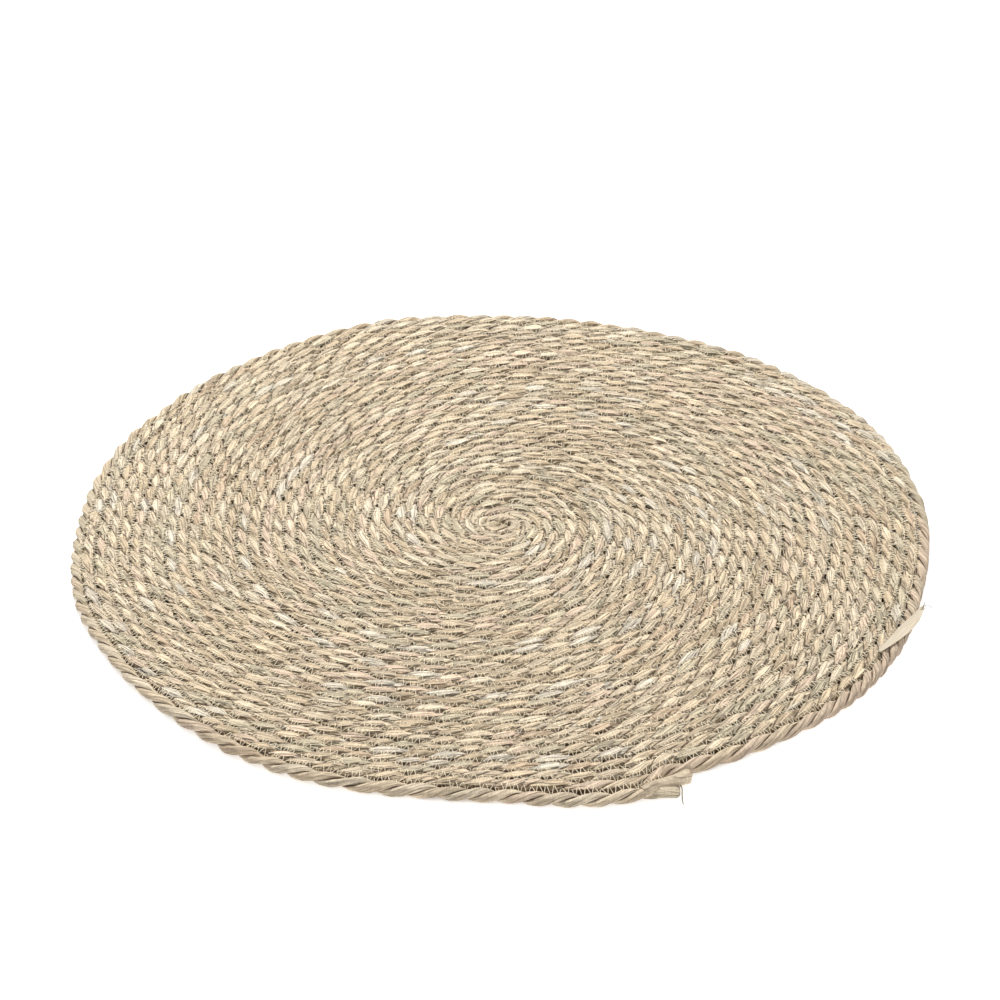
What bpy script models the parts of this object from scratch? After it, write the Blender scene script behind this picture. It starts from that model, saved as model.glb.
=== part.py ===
"""A round scratching mat: one two-ply seagrass rope, wound flat from its middle outwards.

The rope runs counter-clockwise seen from above. `turn` counts its windings from the middle, so the whole
number gives the winding and the fraction gives the direction. Every line of the solid is a spiral: the
groove between two turns, the two edges of the rope's crown, and the lines around the free side of the last
turn, where the twist of the rope is raised. Neighbouring spirals are joined by strips of triangles. The
underside is one flat face.
"""
import math

import bmesh
import bpy
from mathutils import Vector

# Driving dimensions, in metres.
PITCH = 0.00838  # from one turn of the rope to the next
THICKNESS = 0.009  # of the rope, and so of the mat
END_DIRECTION = 291.0  # degrees from +X, where the rope is cut off
WINDINGS = 35 + END_DIRECTION / 360
LAST_TURN = WINDINGS - 1  # where the last turn starts, alongside the cut end

GROOVE_DEPTH = 0.0030  # below the crown, between two turns
CROWN_WIDTH = 0.0030  # between the two edges of the crown
HEART_RADIUS = 0.0028  # flat spot in the middle of the coil
HEART_DEPTH = 0.0018  # of the dimple there
HEART_CORNERS = 8
HEART_LAG = 0.07  # turns by which the spot's first corner lies behind the start of the rope

TWIST_LOBES = 120  # humps of the twisted strands along the last turn
TWIST_DEPTH = 0.0013  # of the crease between two humps
HUMP_EDGE = 0.3  # share of a hump, from its crease to where it reaches its full size
CROWN_SHIFT = 0.11  # humps by which the twist lags on the crown's outer edge, and leads on its inner edge
SHOULDER_IN = 0.0012  # from the rope's side to the shoulder line
SHOULDER_DOWN = 0.0019  # from the crown to the shoulder line
FOOT_IN = 0.0032  # from the rope's side to the edge of the flat underside
SIDE_BULGE = 0.0003  # how far the free side stands past the line of the groove

SPLAY_WIDTH = 0.009  # how much further out the rope's side is where its two strands part at the cut end
SPLAY_DROP = 0.0022  # how much lower it is there
SPLAY_ARC = (21 / 360, 8 / 360)  # turns before the end where it starts, and where it is full
PUSH_WIDTH = 0.0065  # how far the turn inside the splayed end is pushed out as well
PUSH_ARC = (17 / 360, 10 / 360, 5 / 360)  # turns before the end where that starts, is full, and falls off
PUSH_TURNS = 5  # turns over which it dies away inwards

SAG = 0.0010  # how far a chord may cut inside its curve
STEP_MULTIPLE = 6  # steps in a winding come in this multiple, so that most neighbours line up
FADE_TURNS = 12  # turns over which the uneven outline dies away inwards

# The uneven outline: how far the last turn lies outside an even spiral, by direction.
OUTLINE = (
    # degrees, metres
    (10, 0.0039),
    (26, 0.0060),
    (48, 0.0015),
    (70, -0.0036),
    (92, -0.0006),
    (108, 0.0044),
    (134, -0.0005),
    (160, -0.0026),
    (176, -0.0045),
    (196, -0.0020),
    (216, -0.0040),
    (244, 0.0000),
    (262, -0.0050),
    (276, -0.0030),
    (291, -0.0003),
    (305, 0.0024),
    (320, 0.0060),
    (346, 0.0000),
)

# The loose leaf end: its middle line, its width, and the height of its underside above the floor.
LEAF = (
    # x, y, width, height
    (0.2480, -0.1540, 0.0028, 0.00935),
    (0.2560, -0.1452, 0.0056, 0.00940),
    (0.2662, -0.1322, 0.0082, 0.00950),
    (0.2752, -0.1192, 0.0066, 0.00985),
    (0.2822, -0.1070, 0.0030, 0.01050),
)
LEAF_THICKNESS = 0.0007

STRAW = (0.56, 0.46, 0.31, 1.0)
PALE_STRAW = (0.74, 0.65, 0.48, 1.0)


def smooth_step(x):
    x = min(max(x, 0.0), 1.0)
    return x * x * (3 - 2 * x)


def outline_offset(degrees):
    """A smooth closed curve through the rows of OUTLINE."""
    first = OUTLINE[0][0]
    degrees = (degrees - first) % 360 + first
    row = max(k for k, (direction, _) in enumerate(OUTLINE) if direction <= degrees)
    (_, before), (start, low), (end, high), (_, after) = (
        OUTLINE[(row + k) % len(OUTLINE)] for k in (-1, 0, 1, 2)
    )
    x = (degrees - start) / ((end - start) % 360)
    slope_in, slope_out = (high - before) / 2, (after - low) / 2
    return (
        low * (1 + 2 * x) * (1 - x) ** 2
        + high * (3 - 2 * x) * x**2
        + slope_in * x * (1 - x) ** 2
        - slope_out * (1 - x) * x**2
    )


def splay(turn):
    """From 0 to 1 where the two strands part, just before the cut end."""
    start, full = SPLAY_ARC
    return smooth_step((start - (WINDINGS - turn)) / (start - full))


def push(turn):
    """From 0 to 1 where the turns inside the splayed end bulge outwards."""
    if turn > LAST_TURN:
        return 0.0
    start, full, fall = PUSH_ARC
    before_end = (LAST_TURN - turn) % 1
    rise = smooth_step((start - before_end) / (start - full))
    return rise * smooth_step(before_end / fall) * smooth_step(1 + (turn - LAST_TURN) / PUSH_TURNS)


def side(turn):
    """Radius of the rope's outer side."""
    fade = smooth_step(1 + (turn - LAST_TURN) / FADE_TURNS)
    even = PITCH * (turn + 0.5) + fade * outline_offset(turn * 360)
    return even + SPLAY_WIDTH * splay(turn) + PUSH_WIDTH * push(turn)


def inner_side(turn):
    return side(turn - 1)


def crest(turn):
    """Radius of the rope's middle line."""
    return (inner_side(turn) + side(turn)) / 2


def height(turn):
    return THICKNESS - SPLAY_DROP * splay(turn)


def crease(turn, shift):
    """Depth of the twist in the last turn, on a line where each hump comes `shift` humps later."""
    if turn <= LAST_TURN:
        return 0.0
    phase = ((turn - WINDINGS) * TWIST_LOBES - shift) % 1
    return TWIST_DEPTH * max(0.0, 1 - math.sin(math.pi * phase) / math.sin(math.pi * HUMP_EDGE))


def stations(first, last):
    """Turns from first to last, in equal steps within each winding."""
    inner = []
    for winding in range(math.floor(first), math.ceil(last)):
        fewest = math.pi / math.acos(1 - SAG / crest(winding + 0.5))
        steps = STEP_MULTIPLE * math.ceil(fewest / STEP_MULTIPLE)
        margin = 0.3 / steps
        turns = [winding + k / steps for k in range(steps)]
        inner += [turn for turn in turns if first + margin < turn < last - margin]
    return [first, *inner, last]


def hump_stations(shift):
    """Turns along the last winding: each crease of the twist, and both edges of each hump."""
    inner = [
        WINDINGS + (hump + part + shift) / TWIST_LOBES
        for hump in range(-TWIST_LOBES, 2)
        for part in (0.0, HUMP_EDGE, 1 - HUMP_EDGE)
    ]
    margin = 0.12 / TWIST_LOBES
    inner = [turn for turn in inner if LAST_TURN + margin < turn < WINDINGS - margin]
    return [LAST_TURN, *inner, WINDINGS]


def vertex_at(mesh, turn, radius, z):
    angle = math.tau * turn
    return mesh.verts.new((radius * math.cos(angle), radius * math.sin(angle), z))


def spiral(mesh, turns, radius, z):
    """A line of the solid: the vertex at each turn, in order."""
    return {turn: vertex_at(mesh, turn, radius(turn), z(turn)) for turn in turns}


def stretch_of(line, first, last, back=0.0):
    """The points of a line from first to last, keyed by the turn less `back`."""
    return [(turn - back, vertex) for turn, vertex in line.items() if first <= turn <= last]


def join(mesh, one, other):
    """A strip of triangles between two stretches, stepping along whichever lags behind."""
    i = j = 0
    while i + 1 < len(one) or j + 1 < len(other):
        step_one = j + 1 == len(other)
        if i + 1 < len(one) and not step_one:
            step_one = one[i][0] + one[i + 1][0] <= other[j][0] + other[j + 1][0]
        ahead = one[i + 1][1] if step_one else other[j + 1][1]
        mesh.faces.new((one[i][1], other[j][1], ahead))
        i, j = (i + 1, j) if step_one else (i, j + 1)


def close_heart(mesh, groove, start_edge):
    """Fills the middle of the coil with a flat spot and the slope from it to the first turn."""
    z = THICKNESS - HEART_DEPTH
    ring = [vertex_at(mesh, k / HEART_CORNERS - HEART_LAG, HEART_RADIUS, z) for k in range(HEART_CORNERS)]
    mesh.faces.new(ring)
    around = [(1 + k / HEART_CORNERS, ring[k % HEART_CORNERS]) for k in range(HEART_CORNERS + 1)]
    join(mesh, around, stretch_of(groove, 1, 2))
    for a, b in zip(start_edge, start_edge[1:]):
        mesh.faces.new((ring[0], a, b))


def upper_side(mesh):
    turns = stations(1, 2) + stations(2, WINDINGS)[1:]
    groove = spiral(mesh, turns, inner_side, lambda turn: THICKNESS - GROOVE_DEPTH)
    crown = []
    for outwards in (-1, 1):
        shift = -CROWN_SHIFT * outwards
        turns = stations(1, LAST_TURN) + hump_stations(shift)[1:]
        crown.append(
            spiral(
                mesh,
                turns,
                lambda turn: crest(turn) + outwards * CROWN_WIDTH / 2,
                lambda turn: height(turn) - crease(turn, shift),
            )
        )
    inner, outer = crown
    join(mesh, stretch_of(groove, 1, WINDINGS), stretch_of(inner, 1, WINDINGS))
    join(mesh, stretch_of(inner, 1, WINDINGS), stretch_of(outer, 1, WINDINGS))
    join(mesh, stretch_of(outer, 1, LAST_TURN), stretch_of(groove, 2, WINDINGS, back=1))
    close_heart(mesh, groove, (groove[2], outer[1], inner[1], groove[1]))
    return groove, inner, outer


def free_side(mesh, crown, groove):
    """The side of the last turn, from its crown to the foot, where the flat underside starts."""
    lines, shifts = [crown], [-CROWN_SHIFT]
    for shift, inwards, share in (
        # humps later, metres from the side, share of the height
        (-0.25, SHOULDER_IN, 1 - SHOULDER_DOWN / THICKNESS),
        (-0.50, 0.0, 0.5),
        (-0.75, SHOULDER_IN, SHOULDER_DOWN / THICKNESS),
    ):
        lines.append(
            spiral(
                mesh,
                hump_stations(shift),
                lambda turn: side(turn) + SIDE_BULGE - inwards - crease(turn, shift),
                lambda turn: height(turn) * share,
            )
        )
        shifts.append(shift)
    # The shoulder starts where the groove beside the cut end comes out.
    mesh.verts.remove(lines[1][LAST_TURN])
    lines[1][LAST_TURN] = groove[WINDINGS]
    turns = stations(LAST_TURN, WINDINGS)
    lines.append(spiral(mesh, turns, lambda turn: side(turn) - FOOT_IN, lambda turn: 0.0))
    shifts.append(-1.0)
    stretches = [
        stretch_of(line, LAST_TURN, WINDINGS, back=shift / TWIST_LOBES) for line, shift in zip(lines, shifts)
    ]
    for above, below in zip(stretches, stretches[1:]):
        join(mesh, above, below)
    return lines[1:]


def coiled_rope():
    mesh = bmesh.new()
    groove, inner, outer = upper_side(mesh)
    shoulder, middle, low_shoulder, foot = free_side(mesh, outer, groove)
    mesh.faces.new(foot.values())
    cut_end = [line[WINDINGS] for line in (groove, inner, outer, shoulder, middle, low_shoulder, foot)]
    mesh.faces.new(cut_end + [line[LAST_TURN] for line in (foot, low_shoulder, middle)])
    return mesh


def loose_leaf():
    """A thin strip of leaf, narrower on top, that lies across the last turn and juts out past it."""
    mesh = bmesh.new()
    rings = []
    for k, (x, y, width, base) in enumerate(LEAF):
        before, after = LEAF[max(k - 1, 0)], LEAF[min(k + 1, len(LEAF) - 1)]
        along = Vector((after[0] - before[0], after[1] - before[1], 0)).normalized()
        across = Vector((-along.y, along.x, 0)) * width / 2
        middle = Vector((x, y, base))
        top = middle + Vector((0, 0, LEAF_THICKNESS))
        corners = (middle - across, middle + across, top + across / 2, top - across / 2)
        rings.append([mesh.verts.new(corner) for corner in corners])
    for near, far in zip(rings, rings[1:]):
        for k in range(4):
            mesh.faces.new((near[k], near[k - 1], far[k - 1], far[k]))
    mesh.faces.new(rings[0])
    mesh.faces.new(rings[-1])
    return mesh


def material(name, colour, roughness):
    made = bpy.data.materials.new(name)
    made.use_nodes = True
    shader = made.node_tree.nodes["Principled BSDF"]
    shader.inputs["Base Color"].default_value = colour
    shader.inputs["Roughness"].default_value = roughness
    shader.inputs["Metallic"].default_value = 0.0
    return made


def add_object(name, mesh, finish, sharp_degrees):
    bmesh.ops.triangulate(mesh, faces=[face for face in mesh.faces if len(face.verts) > 3])
    bmesh.ops.recalc_face_normals(mesh, faces=mesh.faces[:])
    data = bpy.data.meshes.new(name)
    mesh.to_mesh(data)
    mesh.free()
    data.materials.append(finish)
    data.shade_smooth()
    data.set_sharp_from_angle(angle=math.radians(sharp_degrees))
    bpy.context.collection.objects.link(bpy.data.objects.new(name, data))


for leftover in list(bpy.data.objects):
    bpy.data.objects.remove(leftover, do_unlink=True)

add_object("coiled_rope", coiled_rope(), material("twisted seagrass", STRAW, 0.75), 60)
add_object("loose_leaf", loose_leaf(), material("pale leaf", PALE_STRAW, 0.6), 40)
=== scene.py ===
"""The looks of the scratching mat: a two-ply seagrass rope, wound flat and sewn turn to turn.

The rope's route repeats the named values of the part's source, so each turn lies where the solid has it.
Around that route two strands twist, each wrapped in blades of grass. A zigzag thread holds each turn to the
one inside it, on top and underneath. `turn` counts windings from the middle, as in the part's source: the
whole number gives the winding and the fraction gives the direction. `along` is the length of rope from its
start. Lengths are in metres.
"""
import math

import bpy
import numpy as np
from mathutils import Matrix, Vector
from mathutils.bvhtree import BVHTree


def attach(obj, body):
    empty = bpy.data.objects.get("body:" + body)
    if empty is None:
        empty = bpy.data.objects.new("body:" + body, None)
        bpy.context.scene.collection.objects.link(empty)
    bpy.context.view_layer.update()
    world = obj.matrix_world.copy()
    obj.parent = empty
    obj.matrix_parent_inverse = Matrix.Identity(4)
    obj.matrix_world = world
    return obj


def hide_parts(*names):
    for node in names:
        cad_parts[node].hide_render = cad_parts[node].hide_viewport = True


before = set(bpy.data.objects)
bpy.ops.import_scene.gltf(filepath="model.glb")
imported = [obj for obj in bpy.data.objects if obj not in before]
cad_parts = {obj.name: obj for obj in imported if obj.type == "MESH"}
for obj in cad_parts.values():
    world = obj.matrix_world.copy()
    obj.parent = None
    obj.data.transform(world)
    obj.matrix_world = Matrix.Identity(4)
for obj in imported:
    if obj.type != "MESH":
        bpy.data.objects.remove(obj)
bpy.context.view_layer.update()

# The rope's route, as in the part's source.
PITCH = 0.00838  # from one turn of the rope to the next
THICKNESS = 0.009
END_DIRECTION = 291.0  # degrees from +X, where the rope is cut off
WINDINGS = 35 + END_DIRECTION / 360
LAST_TURN = WINDINGS - 1
FADE_TURNS = 12  # turns over which the uneven outline dies away inwards
OUTLINE = (
    # degrees, metres that the last turn lies outside an even spiral
    (10, 0.0039), (26, 0.0060), (48, 0.0015), (70, -0.0036), (92, -0.0006), (108, 0.0044),
    (134, -0.0005), (160, -0.0026), (176, -0.0045), (196, -0.0020), (216, -0.0040), (244, 0.0),
    (262, -0.0050), (276, -0.0030), (291, -0.0003), (305, 0.0024), (320, 0.0060), (346, 0.0),
)

SPLAY_WIDTH = 0.009  # how far out the rope swings just before the cut end
SPLAY_ARC = (21 / 360, 8 / 360)  # turns before the end where it starts to, and where it lies furthest out
SWING_BACK = 0.0028  # how far the rope swings back between there and its end
PUSH_WIDTH = 0.0065  # how far the turn inside the splayed end is pushed out as well
PUSH_ARC = (17 / 360, 10 / 360, 5 / 360)  # turns before the end where that starts, is full, and falls off
PUSH_TURNS = 5  # turns over which it dies away inwards

# The middle of the coil, where the rope was folded round its own start.
HEART = (
    # turns, x, y
    (0.05, 0.0068, 0.0034),
    (0.20, 0.0010, 0.0028),
    (0.38, -0.0050, 0.0020),
    (0.52, -0.0083, -0.0010),
    (0.64, -0.0052, -0.0042),
)
SPIRAL_START = 0.75  # turns
HEART_OVAL = 0.0030  # how much longer than even the innermost turns are, across the view
HEART_TURNS = 5  # turns over which that dies away
TAPER = 0.010  # length over which the rope's start thins out
THIN_START = 0.35  # its radius at the very start, as a share
HEART_DIP = 0.0014  # how far the rope's start lies below the rest
DIP_LENGTH = 0.03  # length of rope over which it rises from there
STEADY_END = 0.1  # length of rope before the cut end over which its middle line stops swerving

# The rope's make. Along the rim it is firm and evenly twisted. In the turns inside it is worn flatter.
# Where there are two values, the first is for the turns inside and the second is for the rim.
RIM_START = LAST_TURN - 0.03  # turns
STRAND_RADIUS = (0.0041, 0.00315)
STRAND_OFFSET = (0.0014, 0.00185)  # of a strand's middle from the rope's middle
LAY = (0.0380, 0.0350)  # length of rope in which the strands twist once round
LAST_CROSSING = 0.0175  # length of rope after the last place where one strand lies on the other
LIFT = 0.00005  # of the rope's middle, above half its thickness
SIDE_ROOM = 1.04  # where the rope's side is pressed flat, in half widths of the turn
HIGH_ROOM = 0.0047  # the same for its upper and lower side, in metres
SHOULDERS = 0.15  # how much fuller than round the rope is between its top and its sides, inside
PRESS = 8  # how squarely it is pressed
CREASE_DEPTH = 0.0006  # where the two strands meet, on top of what their roundness gives
CREASE_WIDTH = 0.35  # radians to each side over which that fades out
CREASE_SHADE = (0.23, 0.26)  # radians to each side of the crease over which painted shade darkens it
GROOVE_SHADE = 0.82  # share of the half width from which painted shade darkens it towards the groove
FREE_SIDE_LIGHT = 0.6  # share of that shade that the rim's outer side, without a groove, is without

# How unevenly the rope is made: the length of rope over which a value changes, and its standard deviation.
SWERVE = (0.05, 0.00034)  # of the rope's middle line, sideways
WAVE = (0.04, 0.00026)  # of the same, up and down
LAY_SPREAD = (0.08, 0.14)  # of the length of the twist, as a share
LAY_LIMIT = 0.3  # the most that this share comes to
RADIUS_SPREAD = (0.02, 0.08)  # of a strand's radius, as a share
OFFSET_SPREAD = (0.04, 0.15)  # of its distance from the rope's middle, as a share
CREASE_SPREAD = (0.02, 0.3)  # of the depth of the creases, as a share
RELIEF = (0.02, 0.00016)  # of a strand's surface

# The rope's mesh.
FINE_POINTS = 80_000  # along the spiral, from which evenly spaced ones are worked out
STEP = 0.00175  # length of rope from one ring of the rim's mesh to the next
COLUMNS = 12  # faces round the outside of one strand of the rim
COLUMN_ANGLES = np.sin(np.linspace(-math.pi / 2, math.pi / 2, COLUMNS + 1)) * math.pi / 2
COARSER = 2  # times that both are in the turns inside
ROPE_PIECES = (
    # name, first turn, last turn, times coarser than the rim
    ("rope_inner_turns", 0.0, 25.2, COARSER),
    ("rope_outer_turns", 25.2, RIM_START, COARSER),
    ("rope_rim_turn", RIM_START, WINDINGS, 1),
)
ROPE_GIRTH = 0.028  # by which the map for baking is cut into lengths that fill a square
MAP_RADIUS = 0.0032  # of a strand, by which its fibres are laid round it
SECOND_STRAND = 0.5  # metres round, from the first strand's fibres to the second's
END_MAP = 40  # metres along that map, past the whole rope, where the strands' ends start
ROPE_SHARP = 38  # degrees between faces that make a sharp edge

# The blades of grass that lie loose on the rope's upper side, each from one crease to the next.
BLADES = (
    # degrees from straight up, outwards; width; the least and the most that they stand proud; columns of
    # points; radians by which they turn round the rope from tip to tip
    ((0,), 0.0062, (0.0002, 0.0005), 5, -1.2),
    ((-50, 50), 0.0030, (0.0001, 0.0003), 3, -0.7),
)
FIRST_BLADE = 2.3  # turns
BLADE_LENGTH = (0.9, 1.25)  # the least and the most, in halves of the twist's length
BLADE_SHARES = np.array((-0.5, -0.27, 0.0, 0.27, 0.5))  # places along a blade
BLADE_SHAPE = np.array((0.2, 0.8, 1.0, 0.8, 0.2))  # its width there, as a share of its full width
BLADE_LIFT = np.array((0.0, 0.8, 1.0, 0.8, 0.0))  # its height there, as a share of its full height
BLADE_EDGES = 0.15  # height of its long edges, as a share of the height of its middle
BLADE_SINK = 0.0009  # of its tips below the surface
BLADE_SPREAD = (0.12, 0.25)  # radians by which its place round the rope and its turn round the rope vary
BLADE_WIDTHS = (0.2, -0.4, 0.3)  # of the logarithm of its width: standard deviation, least and most
SAME_TINT = 0.55  # share of the strands' passes over the top that keep the tint of the pass before
SAME_BLADE_TINT = 0.75  # share of the blades that have the tint of the strand that they lie on
BLADE_MAP = ((0.0137, 9.7, 0.005), (0.0071, 8.3, 0.0014))  # steps of its fibres' map, see even_map

# The sewing.
THREAD_RADIUS = 0.00031
STITCH = 0.0047  # from one V of the zigzag to the next
REACH = 0.0030  # of a stitch to each side of the groove
REACH_SPREAD = ((0.02, 0.00035), 0.0002, 0.0009)  # slowly along the thread, at each stitch, and the most
HOLE_SPREAD = 0.09  # of the holes along the groove, as a share of the distance between them
THREAD_SWERVE = (0.04, 0.0003)  # of the whole zigzag, sideways
HOLE_DEPTH = 0.0006  # of the thread below the surface
THREAD_CLEARANCE = 0.85  # of the thread's middle above the surface elsewhere, in thread radii
LEG_TOP = (0.0, 0.2, 0.8)  # where the thread has points between one hole and the next, as shares
LEG_UNDER = (0.0, 0.5)
THREAD_MAP = (0.0057, math.inf, 0.0014)  # steps along it in its map, see even_map
FIRST_STITCH = 1.1  # turns
THREAD_END = WINDINGS - 0.004  # turns
THREAD_PARTS = 2  # pieces of thread on each side of the mat

# The cut end, where the two strands part.
FREE_LENGTH = 0.0135  # of rope, from where the strands part
END_SPACING = 0.0018  # from ring to ring
END_COLUMNS = 16
END_SHARP = 50  # degrees, as for the rope
END_FLUFF = 0.01  # length over which a strand's end gets to its full radius
END_BLUNT = (0.0022, 0.35)  # length before the cut over which it thins out, and the share that it loses
END_DARK = (0.004, 0.4)  # length before the cut over which painted shade darkens it, and by how much
# The most that a strand's end is darkened, by its painted shade and streaks together.
END_DARKEST = 0.9
END_ROUGHNESS = (0.012, 0.13)  # of its radius, as a share: the length over which it changes, and its spread
END_STREAKS = (0.03, 0.4)  # the same for how dark it is
UPPER_END = ((0.1063, -0.2851, 0.0068), (0.1108, -0.2818, 0.0064), (0.1163, -0.2758, 0.0052))
LOWER_END = ((0.1027, -0.2911, 0.0037), (0.1098, -0.2905, 0.0037))
STRAND_ENDS = (
    # name, strand, radius, tint, painted shade (the lower end lies in the upper one's shadow), middle line
    ("strand_end_upper", 0, 0.0042, 0.6, 0.15, UPPER_END),
    ("strand_end_lower", 1, 0.0036, 0.2, 0.45, LOWER_END),
)
TAIL_RADIUS = 0.00042
TAIL_SPACING = 0.0005
THREAD_TAIL = (
    (0.1085, -0.2862, 0.0050),
    (0.1102, -0.2880, 0.0058),
    (0.1110, -0.2915, 0.0056),
    (0.1109, -0.2955, 0.0034),
    (0.1113, -0.2998, 0.0004),
)

# The loose leaf, as in the part's source, and the hairs at its torn tip.
LEAF = (
    # x, y, width, height
    (0.2480, -0.1540, 0.0028, 0.00955),
    (0.2560, -0.1452, 0.0058, 0.00965),
    (0.2662, -0.1322, 0.0086, 0.00985),
    (0.2752, -0.1192, 0.0070, 0.01020),
    (0.2822, -0.1070, 0.0028, 0.01080),
)
LEAF_COLUMNS = 16
LEAF_SPACING = 0.0012
LEAF_MAP_WIDTH = 0.005  # of one side of the leaf
LEAF_HOLLOW = 0.00045  # height of its long edges over its middle
LEAF_BODY = 0.00022  # half its thickness
LEAF_RIPPLE = (0.2, 0.00012)  # share of its length over which its edges ripple, and how far
HAIR_RADIUS = 0.00036
HAIR_SPACING = 0.0006
HAIR_TAPER = 0.35  # share of the radius that a hair loses towards its tip
LEAF_HAIRS = (
    (
        (0.2815, -0.1080, 0.0108),
        (0.2838, -0.1062, 0.0118),
        (0.2863, -0.1072, 0.0124),
        (0.2884, -0.1116, 0.0119),
    ),
    ((0.2812, -0.1085, 0.0108), (0.2830, -0.1050, 0.0115), (0.2842, -0.1022, 0.0117)),
    ((0.2800, -0.1100, 0.0107), (0.2822, -0.1092, 0.0112), (0.2846, -0.1098, 0.0109)),
)

# Slivers of dry grass that have come away from the rope. The ranges are the least and the most.
FIBRES = 420
FIBRE_PLACES = (0.02, 0.985)  # along the rope, as a share of its length
FIBRE_LENGTHS = (0.005, 0.014)
FIBRE_SKEW = (0.12, 0.4)  # inwards for each metre along the rope: mean and standard deviation
FIBRE_ASIDE = 0.0032  # the most that one lies beside the rope's middle line
FIBRE_RADII = (0.00025, 0.0006)
FIBRE_SHAPE = np.array((0.6, 1.0, 1.0, 0.8, 0.25))  # its radius along its length, as a share
FIBRE_ARCH = np.array((0.0, 0.0004, 0.0006, 0.0005, 0.0009))  # its height over the rope along its length
FIBRE_ARCHES = (0.3, 1.3)  # times that height
FIBRE_FLATNESS = 0.35  # height over width
FIBRE_SINK = 0.0002  # of its root below the rope, and of any point below the rope's mean height under it

SEED = 11
rng = np.random.default_rng(SEED)


# --- The route ---


def smooth_step(x):
    x = np.clip(x, 0.0, 1.0)
    return x * x * (3 - 2 * x)


def between_knots(before, low, high, after, x):
    """A smooth curve from low to high, at shares x of the way, as one stretch of a curve through all four."""
    slope_in, slope_out = (high - before) / 2, (after - low) / 2
    return (
        low * (1 + 2 * x) * (1 - x) ** 2
        + high * (3 - 2 * x) * x**2
        + slope_in * x * (1 - x) ** 2
        - slope_out * (1 - x) * x**2
    )


def outline_offset(turn):
    """A smooth closed curve through the rows of OUTLINE."""
    degrees, offsets = np.array(OUTLINE).T
    around = (turn * 360 - degrees[0]) % 360 + degrees[0]
    row = np.searchsorted(degrees, around, side="right") - 1
    before, low, high, after = (offsets[(row + k) % len(offsets)] for k in (-1, 0, 1, 2))
    x = (around - degrees[row]) / ((degrees[(row + 1) % len(degrees)] - degrees[row]) % 360)
    return between_knots(before, low, high, after, x)


def side(turn):
    """Radius of the rope's outer side, away from the cut end."""
    fade = smooth_step(1 + (turn - LAST_TURN) / FADE_TURNS)
    return PITCH * (turn + 0.5) + fade * outline_offset(turn)


def half_width(turn):
    return (side(turn) - side(turn - 1)) / 2


def splay(turn):
    """How far the rope swings out before its cut end."""
    start, full = SPLAY_ARC
    left = WINDINGS - turn
    outwards = SPLAY_WIDTH * smooth_step((start - left) / (start - full))
    return outwards - SWING_BACK * smooth_step(1 - left / full)


def push(turn):
    """How far the turns inside the cut end are pushed out."""
    start, full, fall = PUSH_ARC
    before_end = (LAST_TURN - turn) % 1
    rise = smooth_step((start - before_end) / (start - full))
    fade = smooth_step(1 + (turn - LAST_TURN) / PUSH_TURNS)
    return np.where(turn > LAST_TURN, 0.0, PUSH_WIDTH * rise * smooth_step(before_end / fall) * fade)


def crest(turn):
    """Radius of the rope's middle line."""
    return (side(turn - 1) + side(turn)) / 2 + splay(turn) + push(turn)


def in_plan(turn, radius):
    """Points above the floor's plane, at these turns and distances from the middle."""
    oval = HEART_OVAL * smooth_step(1 - turn / HEART_TURNS)
    angle = math.tau * turn
    return np.stack(((radius + oval) * np.cos(angle), (radius - oval / 2) * np.sin(angle)), -1)


def lengths_of(points):
    """Length from the first point to each point."""
    return np.concatenate(([0.0], np.cumsum(np.linalg.norm(np.diff(points, axis=0), axis=1))))


def wander(along, period, size):
    """A smooth random curve: its standard deviation is `size`, and it turns about once in each `period`."""
    knots = rng.normal(0, size, int(along[-1] / period) + 4)
    place = along / period
    low = place.astype(int)
    ease = smooth_step(place - low)
    return knots[low] * (1 - ease) + knots[low + 1] * ease


def curve_through(knots, spacing):
    """Evenly spaced points of a smooth curve through the knots."""
    knots = np.array(knots, float)
    knots = np.concatenate((2 * knots[:1] - knots[1:2], knots, 2 * knots[-1:] - knots[-2:-1]))
    x = np.linspace(0, 1, 24, endpoint=False)[:, None]
    parts = [between_knots(*four, x) for four in zip(knots, knots[1:], knots[2:], knots[3:])]
    fine = np.concatenate((*parts, knots[-2:-1]))
    lengths = lengths_of(fine)
    even = np.linspace(0, lengths[-1], max(round(lengths[-1] / spacing), 2) + 1)
    return np.stack([np.interp(even, lengths, fine[:, axis]) for axis in range(3)], -1)


def even_turns(radius, first, last, spacing):
    """Turns from first to last at equal lengths of the spiral with this radius, and those lengths."""
    fine = np.linspace(first, last, FINE_POINTS)
    lengths = lengths_of(in_plan(fine, radius(fine)))
    along = np.linspace(0, lengths[-1], round(lengths[-1] / spacing) + 1)
    return np.interp(along, lengths, fine), along


# --- Meshes ---


# The free share of each cell of the map for baking, at each end along the piece and at each side across it.
ROPE_GAP = (0.004, 0.03)
BLADE_GAP = (0.06, 0.06)
THREAD_GAP = (0.004, 0.12)
THREAD_RUN = 120  # faces along the thread in one cell
END_GAP = (0.03, 0.03)
LOOSE_END_GAP = (0.03, 0.05)
FIBRE_GAP = (0.08, 0.08)
END_PATCH = 0.04  # radius of an end face's patch in a UV map, as a share of a side face's length there
END_PATCH_GAP = 1.5  # from the middle of that patch to the side faces, in its radii


def add_object(name, data):
    made = bpy.data.objects.new(name, data)
    bpy.context.scene.collection.objects.link(made)
    return made


def add_piece(name, data, finish):
    data.materials.append(finish)
    return add_object(name, data)


def face_map(tubes, rings, columns, place):
    """UV corners of the side faces of tubes, shaped (faces, 4, 2).

    `place` gives u and v from a face's tube, ring and column, and from how far the corner is ahead of them in
    rings and in columns, 0 or 1."""
    faces = np.meshgrid(np.arange(tubes), np.arange(rings - 1), np.arange(columns), indexing="ij")
    corners = [np.stack(place(*faces, *ahead), -1) for ahead in ((0, 0), (1, 0), (1, 1), (0, 1))]
    return np.stack(corners, 3).reshape(-1, 4, 2)


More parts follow.
